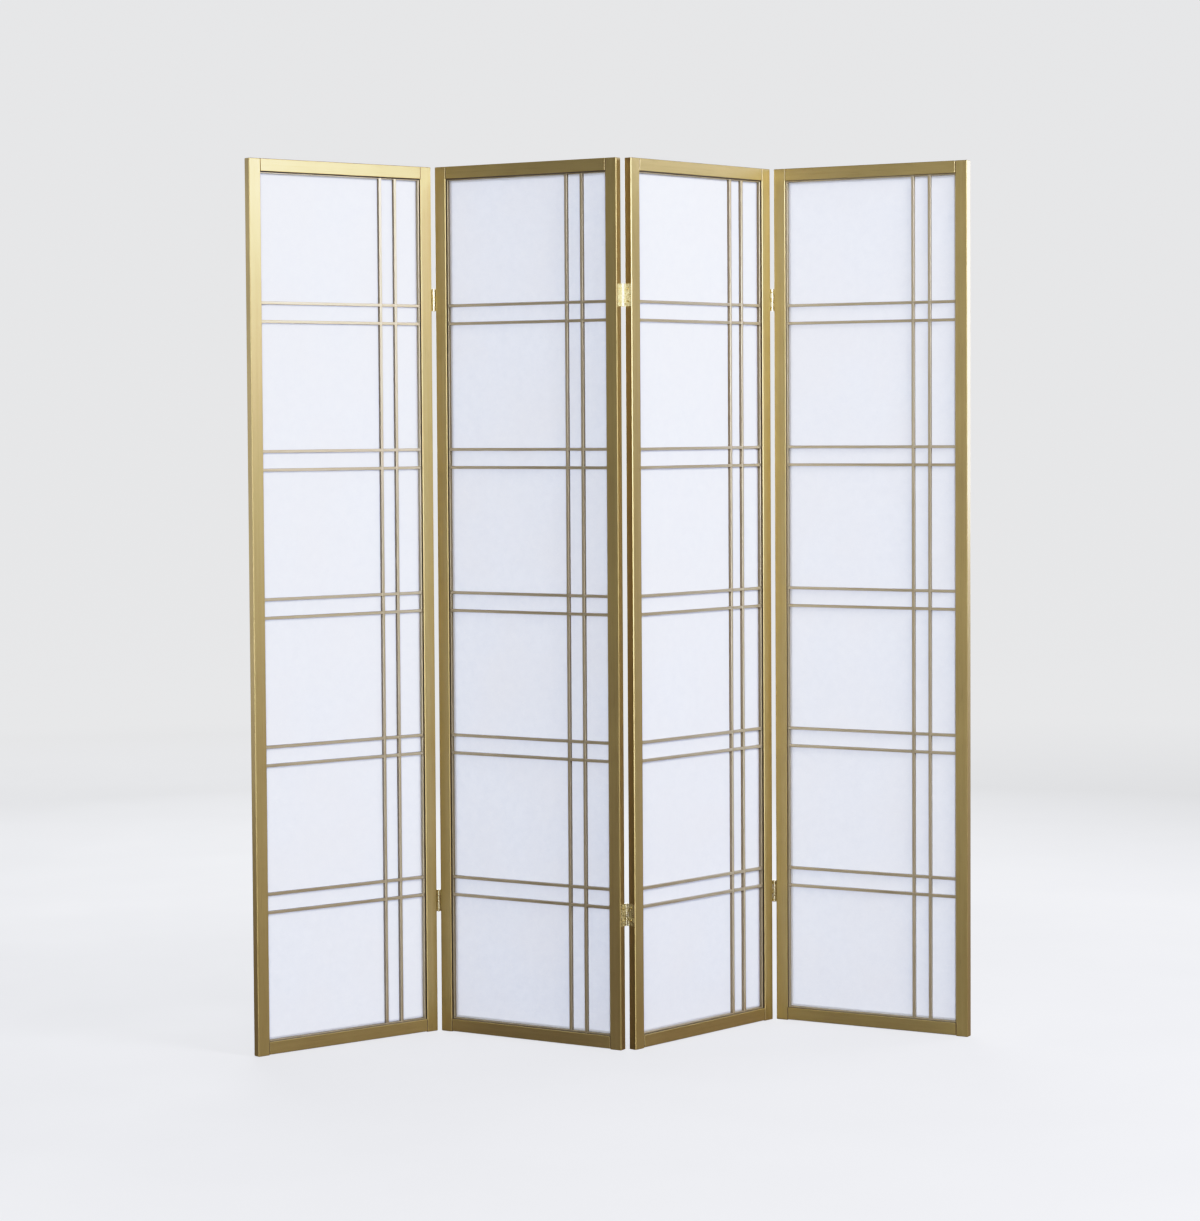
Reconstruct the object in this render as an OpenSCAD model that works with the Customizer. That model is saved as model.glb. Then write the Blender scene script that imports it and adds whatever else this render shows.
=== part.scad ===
// Folding room divider: four framed paper panels joined by pairs of butt hinges.
// Millimetres. The row runs along +X, the front faces -Y and the feet stand on Z = 0.

/* [Panels] */
// Height of a panel
panel_h = 1784; // [1600:1:2000]
// Width of a panel
panel_w = 432; // [390:1:500]
// Thickness of the frame, front to back
frame_t = 18; // [17:0.5:24]
// Width of a frame upright
stile_w = 26; // [24:0.5:34]
// Height of a frame cross member
rail_h = 25.5; // [22:0.5:36]
// Rise of the bottom cross member above the feet
foot_rise = 1.5; // [0.5:0.5:5]
// Cut that eases the frame's edges
frame_ease = 1.2; // [0.6:0.1:1.8]

/* [Corner dowels] */
// Diameter of a dowel
dowel_d = 6; // [5:0.5:7]
// Length of a dowel inside the frame upright
dowel_in_stile = 16; // [12:1:18]
// Length of a dowel inside the cross member
dowel_in_rail = 20; // [14:1:30]
// From the cross member's edge to the dowel's centre
dowel_edge = 6.5; // [5:0.5:7]

/* [Lattice] */
// Width of a lattice strip, seen from the front
strip_w = 6; // [4:0.5:9]
// Depth of a lattice strip
strip_d = 7.5; // [5:0.5:8]
// Step from the frame's front face back to the lattice
strip_inset = 5; // [3:0.5:5.5]
// Cut that eases the front edges of a strip
strip_ease = 0.4; // [0.2:0.1:0.8]
// Width of the strip that borders the lattice
border_w = 3; // [2:0.5:6]
// From the right frame upright to the middle of the nearer lattice upright
side_cell_w = 59; // [40:1:90]
// Between the middles of the two lattice uprights
upright_gap = 36.3; // [25:0.1:60]
// Between the middles of the two crossbars of a pair
bar_gap = 37; // [25:0.5:60]
// From one pair of crossbars to the next
pair_pitch = 294.4; // [240:0.1:320]

/* [Paper] */
// Thickness of the paper
paper_t = 0.3; // [0.2:0.1:0.6]
// Gap between the paper's edge and the frame
paper_play = 0.5; // [0.3:0.1:1.5]
// Width of the bead that backs the paper
bead_w = 7; // [5:0.5:10]
// Step from the frame's back face in to the bead
bead_inset = 0.7; // [0.3:0.1:1.2]

/* [Hinges] */
// Length of a hinge
hinge_h = 45; // [40:1:60]
// From a panel's end to the middle of a hinge
hinge_end = 272; // [150:1:400]
// Gap between two panels that stand in line
panel_gap = 4.5; // [4.2:0.1:6]
// Thickness of a hinge leaf
leaf_t = 1.2; // [1:0.1:1.5]
// Reach of a leaf across the frame's edge
leaf_reach = 16.5; // [12:0.5:17]
// Diameter of a knuckle
knuckle_d = 6; // [5:0.1:6.4]
// From the frame's face out to the axis of the pin
pin_out = 3; // [2.6:0.1:3.4]
// Diameter of the pin
pin_d = 2.6; // [2:0.1:3]
// Diameter of the pin's head
pin_head_d = 4.4; // [3.6:0.1:4.8]
// Height of the pin's head
pin_head_h = 0.8; // [0.5:0.1:1.5]

/* [Screws] */
// Diameter of a screw's shank
screw_d = 2.5; // [2.2:0.1:3]
// Diameter of a screw's head
screw_head_d = 4.9; // [4.4:0.1:5.6]
// Length of a screw inside the wood
screw_l = 12; // [9:0.5:15]
// From the hinge's end to a screw
screw_end = 10; // [7:0.5:14]
// Depth of the cross slot in a head
slot_depth = 0.7; // [0.4:0.1:0.9]
// Width of the cross slot
slot_w = 0.7; // [0.5:0.1:0.9]

/* [Clearances] */
// Radial play of a pin, a screw or a dowel in its hole
hole_play = 0.05; // [0.02:0.01:0.1]
// Gap between two knuckles
knuckle_gap = 0.2; // [0.1:0.05:0.4]
// Gap between a leaf and the other leaf's knuckles
leaf_play = 0.4; // [0.3:0.1:0.6]
// Free depth of a hole past its dowel or screw
end_play = 1; // [0.5:0.5:2]
// Gap between two beads at a mitre
mitre_gap = 0.2; // [0.1:0.1:0.5]

/* [Standing] */
// Angle of the first panel to the row
turn_1 = 31; // [10:1:60]
// Angle of the second panel to the row
turn_2 = 37; // [10:1:60]
// Angle of the third panel to the row
turn_3 = 41; // [10:1:60]
// Angle of the fourth panel to the row
turn_4 = 35; // [10:1:60]

/* [Hidden] */
$fn = 48;
eps = 1;
pair_count = 5;
knuckle_count = 5;

// Frame opening
open_u0 = stile_w;
open_u1 = panel_w - stile_w;
open_z0 = foot_rise + rail_h;
open_z1 = panel_h - rail_h;
open_w = open_u1 - open_u0;
open_h = open_z1 - open_z0;

// Depths from the front face
strip_y0 = strip_inset;
strip_y1 = strip_inset + strip_d;
lap_y = (strip_y0 + strip_y1) / 2;
bead_y0 = strip_y1 + paper_t;
bead_d = frame_t - bead_inset - bead_y0;

// Lattice positions
upright_u = [open_u1 - side_cell_w - upright_gap, open_u1 - side_cell_w];
middle_z = (open_z0 + open_z1) / 2;
pair_first = -(pair_count - 1) / 2;
pair_z = [for (k = [0 : pair_count - 1]) middle_z + (pair_first + k) * pair_pitch];
bar_z = [for (z = pair_z, side = [-1, 1]) z + side * bar_gap / 2];

// Dowels
dowel_r = dowel_d / 2;
dowel_tip = 0.6;
dowel_hole_r = dowel_r + hole_play;
dowel_z = [
  foot_rise + dowel_edge,
  foot_rise + rail_h - dowel_edge,
  open_z1 + dowel_edge,
  panel_h - dowel_edge
];

// Hinges
hinge_z0 = [hinge_end - hinge_h / 2, panel_h - hinge_end - hinge_h / 2];
half_gap = panel_gap / 2;
knuckle_r = knuckle_d / 2;
knuckle_h = hinge_h / knuckle_count;
pin_r = pin_d / 2;
pin_hole_r = pin_r + hole_play;
leaf_start = knuckle_r + leaf_play;
leaf_end = pin_out + leaf_reach;

// Screws
screw_r = screw_d / 2;
screw_head_r = screw_head_d / 2;
screw_tip = 2;
screw_point_r = 0.2;
screw_depth = (leaf_start - pin_out + leaf_reach) / 2;
screw_z = [screw_end, hinge_h - screw_end];

// Plan: side is -1 for a pin on the front, 1 for a pin on the back
function turned(a, p) = [p[0] * cos(a) - p[1] * sin(a), p[0] * sin(a) + p[1] * cos(a)];
function pin_level(side) = side < 0 ? -pin_out : frame_t + pin_out;
function pin_point(start, a, side) = start + turned(a, [panel_w + half_gap, pin_level(side)]);
function next_start(pin, a, side) = pin - turned(a, [-half_gap, pin_level(side)]);

pin_side = [-1, 1, -1];
turn = [turn_1, -turn_2, turn_3, -turn_4];
raw_1 = [0, 0];
raw_pin_1 = pin_point(raw_1, turn[0], pin_side[0]);
raw_2 = next_start(raw_pin_1, turn[1], pin_side[0]);
raw_pin_2 = pin_point(raw_2, turn[1], pin_side[1]);
raw_3 = next_start(raw_pin_2, turn[2], pin_side[1]);
raw_pin_3 = pin_point(raw_3, turn[2], pin_side[2]);
raw_4 = next_start(raw_pin_3, turn[3], pin_side[2]);
raw_start = [raw_1, raw_2, raw_3, raw_4];
raw_pin = [raw_pin_1, raw_pin_2, raw_pin_3];

// Outline of a panel seen from above, and the middle of the whole row
panel_outline = eased(panel_w, frame_t, frame_ease);
row_points = [for (i = [0 : 3], p = panel_outline) raw_start[i] + turned(turn[i], p)];
row_x = [for (p = row_points) p[0]];
row_y = [for (p = row_points) p[1]];
row_middle = [(min(row_x) + max(row_x)) / 2, (min(row_y) + max(row_y)) / 2];
panel_start = [for (p = raw_start) p - row_middle];
pin_at = [for (p = raw_pin) p - row_middle];

gold = [0.78, 0.69, 0.49];
bare_wood = [0.80, 0.68, 0.50];
white_paper = [0.93, 0.93, 0.94];
brass = [0.86, 0.72, 0.40];

// Rectangle with its four corners cut off
function eased(w, h, cut) = [
  [cut, 0],
  [w - cut, 0],
  [w, cut],
  [w, h - cut],
  [w - cut, h],
  [cut, h],
  [0, h - cut],
  [0, cut]
];

// Section of a strip from its middle, with its two front edges eased
function strip_section(w) = [
  [strip_ease - w / 2, strip_y0],
  [w / 2 - strip_ease, strip_y0],
  [w / 2, strip_y0 + strip_ease],
  [w / 2, strip_y1],
  [-w / 2, strip_y1],
  [-w / 2, strip_y0 + strip_ease]
];

// Stands a panel's pieces at the panel's place in the row
module in_panel(i) {
  translate([panel_start[i][0], panel_start[i][1], 0])
    rotate([0, 0, turn[i]])
      children();
}

// Turns a child that is drawn with its length along Z so that its length runs along X
module lying() {
  rotate([90, 0, 90])
    children();
}

// Bar with all its edges eased
module eased_bar(w, d, h) {
  intersection() {
    linear_extrude(h)
      polygon(eased(w, d, frame_ease));
    lying()
      linear_extrude(w)
        polygon(eased(d, h, frame_ease));
    translate([0, d, 0])
      rotate([90, 0, 0])
        linear_extrude(d)
          polygon(eased(w, h, frame_ease));
  }
}

// Blind holes in a frame upright, drilled along +X from its inner face
module stile_dowel_holes() {
  for (z = dowel_z)
    translate([-eps, frame_t / 2, z])
      rotate([0, 90, 0])
        cylinder(r = dowel_hole_r, h = dowel_in_stile + end_play + eps);
}

// Pilot holes for the screws of one panel edge, drilled along +X
module pilot_holes(side) {
  for (z0 = hinge_z0, z = screw_z)
    translate([-eps, screw_level(side), z0 + z])
      rotate([0, 90, 0])
        cylinder(r = screw_r + hole_play, h = screw_l + end_play + eps);
}

function screw_level(side) = side < 0 ? screw_depth : frame_t - screw_depth;

// Frame upright on a panel's left; side 0 leaves it without hinges
module left_stile(side) {
  difference() {
    eased_bar(stile_w, frame_t, panel_h);
    translate([stile_w, 0, 0])
      mirror([1, 0, 0])
        stile_dowel_holes();
    if (side != 0)
      pilot_holes(side);
  }
}

module right_stile(side) {
  translate([panel_w, 0, 0])
    mirror([1, 0, 0])
      left_stile(side);
}

// Cross member between the uprights, bored at both ends
module rail(z0, holes) {
  difference() {
    translate([open_u0, 0, z0])
      eased_bar(open_w, frame_t, rail_h);
    for (z = holes, u = [open_u0 - eps, open_u1 - dowel_in_rail - end_play])
      translate([u, frame_t / 2, z])
        rotate([0, 90, 0])
          cylinder(r = dowel_hole_r, h = dowel_in_rail + end_play + eps);
  }
}

module top_rail() {
  rail(open_z1, [dowel_z[2], dowel_z[3]]);
}

module bottom_rail() {
  rail(foot_rise, [dowel_z[0], dowel_z[1]]);
}

// Round peg with eased ends
module dowel() {
  length = dowel_in_stile + dowel_in_rail;
  tip_r = dowel_r - dowel_tip;
  cylinder(r1 = tip_r, r2 = dowel_r, h = dowel_tip);
  translate([0, 0, dowel_tip])
    cylinder(r = dowel_r, h = length - 2 * dowel_tip);
  translate([0, 0, length - dowel_tip])
    cylinder(r1 = dowel_r, r2 = tip_r, h = dowel_tip);
}

module corner_dowels() {
  for (z = dowel_z, u = [open_u0 - dowel_in_stile, open_u1 - dowel_in_rail])
    translate([u, frame_t / 2, z])
      rotate([0, 90, 0])
        dowel();
}

// Strip of width w that stands in the opening, its middle at u
module standing_strip(u, w) {
  translate([u, 0, open_z0])
    linear_extrude(open_h)
      polygon(strip_section(w));
}

// Strip of width w that lies across the opening from u0 to u1, its middle at z
module lying_strip(z, w, u0, u1) {
  section = [for (p = strip_section(w)) [p[1], p[0]]];
  translate([u0, 0, z])
    lying()
      linear_extrude(u1 - u0)
        polygon(section);
}

// Cuts away the front or the back half of the strips where a crossing strip lies from z up by w
module lying_notch(z, w, y0, y1) {
  translate([open_u0 - eps, y0, z])
    cube([open_w + 2 * eps, y1 - y0, w]);
}

// The same where a crossing strip stands from u to the right by w
module standing_notch(u, w, y0, y1) {
  translate([u, y0, open_z0 - eps])
    cube([w, y1 - y0, open_h + 2 * eps]);
}

// Two uprights, in front where they cross the crossbars and the top and bottom borders,
// and the two side borders, behind the ends of the crossbars
module lattice_uprights() {
  difference() {
    for (u = upright_u)
      standing_strip(u, strip_w);
    for (z = bar_z)
      lying_notch(z - strip_w / 2, strip_w, lap_y, strip_y1 + eps);
    for (z = [open_z0 - eps, open_z1 - border_w])
      lying_notch(z, border_w + eps, lap_y, strip_y1 + eps);
  }
  difference() {
    for (u = [open_u0 + border_w / 2, open_u1 - border_w / 2])
      standing_strip(u, border_w);
    for (z = bar_z)
      lying_notch(z - strip_w / 2, strip_w, strip_y0 - eps, lap_y);
  }
}

// Crossbars, behind the uprights and in front of the side borders,
// and the top and bottom borders, behind the ends of the uprights
module lattice_crossbars() {
  difference() {
    for (z = bar_z)
      lying_strip(z, strip_w, open_u0, open_u1);
    for (u = upright_u)
      standing_notch(u - strip_w / 2, strip_w, strip_y0 - eps, lap_y);
    for (u = [open_u0 - eps, open_u1 - border_w])
      standing_notch(u, border_w + eps, lap_y, strip_y1 + eps);
  }
  difference() {
    for (z = [open_z0 + border_w / 2, open_z1 - border_w / 2])
      lying_strip(z, border_w, open_u0 + border_w, open_u1 - border_w);
    for (u = upright_u)
      standing_notch(u - strip_w / 2, strip_w, strip_y0 - eps, lap_y);
  }
}

module paper() {
  w = open_w - 2 * paper_play;
  h = open_h - 2 * paper_play;
  translate([open_u0 + paper_play, strip_y1, open_z0 + paper_play])
    cube([w, paper_t, h]);
}

// One mitred bead, its outer edge on the X axis
module bead(length) {
  near = mitre_gap;
  far = mitre_gap + bead_w;
  translate([0, bead_y0 + bead_d, 0])
    rotate([90, 0, 0])
      linear_extrude(bead_d)
        polygon([[near, 0], [length - near, 0], [length - far, bead_w], [far, bead_w]]);
}

module back_beads() {
  translate([open_u0, 0, open_z0])
    bead(open_w);
  translate([open_u0, 0, open_z1])
    mirror([0, 0, 1])
      bead(open_w);
  translate([open_u0, 0, open_z1])
    rotate([0, 90, 0])
      bead(open_h);
  translate([open_u1, 0, open_z0])
    rotate([0, -90, 0])
      bead(open_h);
}

// Countersunk screw, its head at x = leaf_t and its shank running to -X
module screw() {
  rotate([0, -90, 0])
    difference() {
      union() {
        translate([0, 0, -leaf_t])
          cylinder(r1 = screw_head_r, r2 = screw_r, h = leaf_t);
        cylinder(r = screw_r, h = screw_l - screw_tip);
        translate([0, 0, screw_l - screw_tip])
          cylinder(r1 = screw_r, r2 = screw_point_r, h = screw_tip);
      }
      for (a = [45, 135])
        rotate([0, 0, a])
          translate([-screw_r, -slot_w / 2, -leaf_t - eps])
            cube([2 * screw_r, slot_w, slot_depth + eps]);
    }
}

// Screws of one panel: sides of its left and right hinges, 0 where it has none
module hinge_screws(left_side, right_side) {
  for (z0 = hinge_z0, z = screw_z) {
    if (right_side != 0)
      translate([panel_w, screw_level(right_side), z0 + z])
        screw();
    if (left_side != 0)
      translate([0, screw_level(left_side), z0 + z])
        mirror([1, 0, 0])
          screw();
  }
}

function own_knuckles(first) = [for (k = [first : 2 : knuckle_count - 1]) k];

// Leaf on the edge of the panel to the left of the pin; the pin stands on the origin
module leaf(first) {
  difference() {
    union() {
      translate([-half_gap, 0, 0])
        cube([leaf_t, leaf_end, hinge_h]);
      for (k = own_knuckles(first))
        translate([0, 0, k * knuckle_h])
          cylinder(r = knuckle_r, h = knuckle_h);
    }
    for (k = own_knuckles(1 - first))
      translate([-knuckle_d, -knuckle_d, k * knuckle_h - knuckle_gap / 2])
        cube([2 * knuckle_d, knuckle_d + leaf_start, knuckle_h + knuckle_gap]);
    for (k = [1 : knuckle_count - 1])
      translate([-knuckle_d, -knuckle_d, k * knuckle_h - knuckle_gap / 2])
        cube([2 * knuckle_d, knuckle_d + leaf_start, knuckle_gap]);
    translate([0, 0, -eps])
      cylinder(r = pin_hole_r, h = hinge_h + 2 * eps);
    for (z = screw_z)
      translate([-half_gap, pin_out + screw_depth, z])
        rotate([0, 90, 0])
          cylinder(r1 = screw_r + hole_play, r2 = screw_head_r + hole_play, h = leaf_t);
  }
}

// Puts a child that is drawn on the pin of joint j at its height, for a pin on either face
module at_pin(j, i, z0) {
  translate([pin_at[j][0], pin_at[j][1], z0])
    rotate([0, 0, turn[i]])
      mirror([0, pin_side[j] < 0 ? 0 : 1, 0])
        children();
}

module left_leaf(j, level) {
  at_pin(j, j, hinge_z0[level])
    leaf(0);
}

module right_leaf(j, level) {
  at_pin(j, j + 1, hinge_z0[level])
    mirror([1, 0, 0])
      leaf(1);
}

module pin(j, level) {
  translate([pin_at[j][0], pin_at[j][1], hinge_z0[level]]) {
    cylinder(r = pin_r, h = hinge_h);
    translate([0, 0, hinge_h])
      cylinder(d = pin_head_d, h = pin_head_h);
    translate([0, 0, -pin_head_h])
      cylinder(d = pin_head_d, h = pin_head_h);
  }
}

module panel_1_left_stile() {
  color(gold)
    in_panel(0)
      left_stile(0);
}

module panel_1_right_stile() {
  color(gold)
    in_panel(0)
      right_stile(pin_side[0]);
}

module panel_1_top_rail() {
  color(gold)
    in_panel(0)
      top_rail();
}

module panel_1_bottom_rail() {
  color(gold)
    in_panel(0)
      bottom_rail();
}

module panel_1_lattice_uprights() {
  color(gold)
    in_panel(0)
      lattice_uprights();
}

module panel_1_lattice_crossbars() {
  color(gold)
    in_panel(0)
      lattice_crossbars();
}

module panel_1_paper() {
  color(white_paper)
    in_panel(0)
      paper();
}

module panel_1_back_beads() {
  color(gold)
    in_panel(0)
      back_beads();
}

module panel_1_corner_dowels() {
  color(bare_wood)
    in_panel(0)
      corner_dowels();
}

module panel_1_hinge_screws() {
  color(brass)
    in_panel(0)
      hinge_screws(0, pin_side[0]);
}

module panel_2_left_stile() {
  color(gold)
    in_panel(1)
      left_stile(pin_side[0]);
}

module panel_2_right_stile() {
  color(gold)
    in_panel(1)
      right_stile(pin_side[1]);
}

module panel_2_top_rail() {
  color(gold)
    in_panel(1)
      top_rail();
}

module panel_2_bottom_rail() {
  color(gold)
    in_panel(1)
      bottom_rail();
}

module panel_2_lattice_uprights() {
  color(gold)
    in_panel(1)
      lattice_uprights();
}

module panel_2_lattice_crossbars() {
  color(gold)
    in_panel(1)
      lattice_crossbars();
}

module panel_2_paper() {
  color(white_paper)
    in_panel(1)
      paper();
}

module panel_2_back_beads() {
  color(gold)
    in_panel(1)
      back_beads();
}

module panel_2_corner_dowels() {
  color(bare_wood)
    in_panel(1)
      corner_dowels();
}

module panel_2_hinge_screws() {
  color(brass)
    in_panel(1)
      hinge_screws(pin_side[0], pin_side[1]);
}

module panel_3_left_stile() {
  color(gold)
    in_panel(2)
      left_stile(pin_side[1]);
}

module panel_3_right_stile() {
  color(gold)
    in_panel(2)
      right_stile(pin_side[2]);
}

module panel_3_top_rail() {
  color(gold)
    in_panel(2)
      top_rail();
}

module panel_3_bottom_rail() {
  color(gold)
    in_panel(2)
      bottom_rail();
}

module panel_3_lattice_uprights() {
  color(gold)
    in_panel(2)
      lattice_uprights();
}

module panel_3_lattice_crossbars() {
  color(gold)
    in_panel(2)
      lattice_crossbars();
}

module panel_3_paper() {
  color(white_paper)
    in_panel(2)
      paper();
}

module panel_3_back_beads() {
  color(gold)
    in_panel(2)
      back_beads();
}

module panel_3_corner_dowels() {
  color(bare_wood)
    in_panel(2)
      corner_dowels();
}

module panel_3_hinge_screws() {
  color(brass)
    in_panel(2)
      hinge_screws(pin_side[1], pin_side[2]);
}

module panel_4_left_stile() {
  color(gold)
    in_panel(3)
      left_stile(pin_side[2]);
}

module panel_4_right_stile() {
  color(gold)
    in_panel(3)
      right_stile(0);
}

module panel_4_top_rail() {
  color(gold)
    in_panel(3)
      top_rail();
}

module panel_4_bottom_rail() {
  color(gold)
    in_panel(3)
      bottom_rail();
}

module panel_4_lattice_uprights() {
  color(gold)
    in_panel(3)
      lattice_uprights();
}

module panel_4_lattice_crossbars() {
  color(gold)
    in_panel(3)
      lattice_crossbars();
}

module panel_4_paper() {
  color(white_paper)
    in_panel(3)
      paper();
}

module panel_4_back_beads() {
  color(gold)
    in_panel(3)
      back_beads();
}

module panel_4_corner_dowels() {
  color(bare_wood)
    in_panel(3)
      corner_dowels();
}

module panel_4_hinge_screws() {
  color(brass)
    in_panel(3)
      hinge_screws(pin_side[2], 0);
}

module lower_hinge_1_2_left_leaf() {
  color(brass)
    left_leaf(0, 0);
}

module lower_hinge_1_2_right_leaf() {
  color(brass)
    right_leaf(0, 0);
}

module lower_hinge_1_2_pin() {
  color(brass)
    pin(0, 0);
}

module upper_hinge_1_2_left_leaf() {
  color(brass)
    left_leaf(0, 1);
}

module upper_hinge_1_2_right_leaf() {
  color(brass)
    right_leaf(0, 1);
}

module upper_hinge_1_2_pin() {
  color(brass)
    pin(0, 1);
}

module lower_hinge_2_3_left_leaf() {
  color(brass)
    left_leaf(1, 0);
}

module lower_hinge_2_3_right_leaf() {
  color(brass)
    right_leaf(1, 0);
}

module lower_hinge_2_3_pin() {
  color(brass)
    pin(1, 0);
}

module upper_hinge_2_3_left_leaf() {
  color(brass)
    left_leaf(1, 1);
}

module upper_hinge_2_3_right_leaf() {
  color(brass)
    right_leaf(1, 1);
}

module upper_hinge_2_3_pin() {
  color(brass)
    pin(1, 1);
}

module lower_hinge_3_4_left_leaf() {
  color(brass)
    left_leaf(2, 0);
}

module lower_hinge_3_4_right_leaf() {
  color(brass)
    right_leaf(2, 0);
}

module lower_hinge_3_4_pin() {
  color(brass)
    pin(2, 0);
}

module upper_hinge_3_4_left_leaf() {
  color(brass)
    left_leaf(2, 1);
}

module upper_hinge_3_4_right_leaf() {
  color(brass)
    right_leaf(2, 1);
}

module upper_hinge_3_4_pin() {
  color(brass)
    pin(2, 1);
}

panel_1_left_stile();
panel_1_right_stile();
panel_1_top_rail();
panel_1_bottom_rail();
panel_1_lattice_uprights();
panel_1_lattice_crossbars();
panel_1_paper();
panel_1_back_beads();
panel_1_corner_dowels();
panel_1_hinge_screws();
panel_2_left_stile();
panel_2_right_stile();
panel_2_top_rail();
panel_2_bottom_rail();
panel_2_lattice_uprights();
panel_2_lattice_crossbars();
panel_2_paper();
panel_2_back_beads();
panel_2_corner_dowels();
panel_2_hinge_screws();
panel_3_left_stile();
panel_3_right_stile();
panel_3_top_rail();
panel_3_bottom_rail();
panel_3_lattice_uprights();
panel_3_lattice_crossbars();
panel_3_paper();
panel_3_back_beads();
panel_3_corner_dowels();
panel_3_hinge_screws();
panel_4_left_stile();
panel_4_right_stile();
panel_4_top_rail();
panel_4_bottom_rail();
panel_4_lattice_uprights();
panel_4_lattice_crossbars();
panel_4_paper();
panel_4_back_beads();
panel_4_corner_dowels();
panel_4_hinge_screws();
lower_hinge_1_2_left_leaf();
lower_hinge_1_2_right_leaf();
lower_hinge_1_2_pin();
upper_hinge_1_2_left_leaf();
upper_hinge_1_2_right_leaf();
upper_hinge_1_2_pin();
lower_hinge_2_3_left_leaf();
lower_hinge_2_3_right_leaf();
lower_hinge_2_3_pin();
upper_hinge_2_3_left_leaf();
upper_hinge_2_3_right_leaf();
upper_hinge_2_3_pin();
lower_hinge_3_4_left_leaf();
lower_hinge_3_4_right_leaf();
lower_hinge_3_4_pin();
upper_hinge_3_4_left_leaf();
upper_hinge_3_4_right_leaf();
upper_hinge_3_4_pin();
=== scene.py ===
import math

import bmesh
import bpy
from mathutils import Matrix, Vector, noise


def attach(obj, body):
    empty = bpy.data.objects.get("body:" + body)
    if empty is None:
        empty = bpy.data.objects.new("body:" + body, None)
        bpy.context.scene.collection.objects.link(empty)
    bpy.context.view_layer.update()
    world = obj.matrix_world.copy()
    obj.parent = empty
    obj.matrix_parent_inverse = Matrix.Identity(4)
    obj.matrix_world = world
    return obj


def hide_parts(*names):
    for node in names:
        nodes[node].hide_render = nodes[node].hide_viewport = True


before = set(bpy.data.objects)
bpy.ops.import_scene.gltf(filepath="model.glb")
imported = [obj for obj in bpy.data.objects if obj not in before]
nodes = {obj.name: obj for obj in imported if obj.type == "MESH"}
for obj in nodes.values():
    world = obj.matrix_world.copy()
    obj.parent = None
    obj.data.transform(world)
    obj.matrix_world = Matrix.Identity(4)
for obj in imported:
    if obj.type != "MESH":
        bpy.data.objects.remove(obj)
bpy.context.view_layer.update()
print("stage: frame loaded")

# sizes of one panel in metres, seen from its front: u runs right, depth back from the front face, z up
panel = {
    "width": 0.432,
    "thick": 0.018,
    "openU": (0.026, 0.406),
    "openZ": (0.027, 1.7585),
    "stripHalf": 0.003,
    "paperFront": 0.0125,
    "paperThick": 0.0003,
    "paperPlay": 0.0005,
    "beadWidth": 0.007,
    "beadBack": 0.0173,
    "uprightU": (0.3107, 0.347),
    "barGap": 0.037,
    "pairPitch": 0.2944,
    "pairCount": 5,
}
openLeft, openRight = panel["openU"]
openBottom, openTop = panel["openZ"]
openMiddle = Vector(((openLeft + openRight) / 2, 0, (openBottom + openTop) / 2))
openHalfU, openHalfZ = (openRight - openLeft) / 2, (openTop - openBottom) / 2

# the row: left bottom corner of each front, angle to the row, and which edges have hinges on which face
plan = {
    "panel_1": {"start": (-0.7202075, -0.1119513), "turn": 31, "hinges": {"right": "front"}},
    "panel_2": {"start": (-0.3428351, 0.1101743), "turn": -37, "hinges": {"left": "front", "right": "back"}},
    "panel_3": {"start": (0.0320858, -0.1487653), "turn": 41, "hinges": {"left": "back", "right": "front"}},
    "panel_4": {"start": (0.3653504, 0.1350311), "turn": -35, "hinges": {"left": "front"}},
}


def standing(panelName):
    place = plan[panelName]
    turned = Matrix.Rotation(math.radians(place["turn"]), 4, "Z")
    return Matrix.Translation((*place["start"], 0)) @ turned


def hexColour(code):
    parts = [int(code[i:i + 2], 16) / 255 for i in (0, 2, 4)]
    return tuple(c / 12.92 if c < 0.04045 else ((c + 0.055) / 1.055) ** 2.4 for c in parts) + (1,)


def perMetre(millimetres):
    return 1000 / millimetres  # the scale of a pattern whose marks are this wide


def addNode(tree, kind, inputs=(), out=0, **settings):
    # inputs go by name in a dictionary, or in order; gives one output back, or all of them with out=None
    node = tree.nodes.new(kind)
    for name, value in settings.items():
        setattr(node, name, value)
    for socket, value in inputs.items() if isinstance(inputs, dict) else enumerate(inputs):
        if isinstance(value, bpy.types.NodeSocket):
            tree.links.new(value, node.inputs[socket])
        else:
            node.inputs[socket].default_value = value
    return node.outputs if out is None else node.outputs[out]


def newMaterial(name):
    material = bpy.data.materials.new(name)
    material.use_nodes = True
    material.node_tree.nodes.clear()
    return material, material.node_tree


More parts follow.
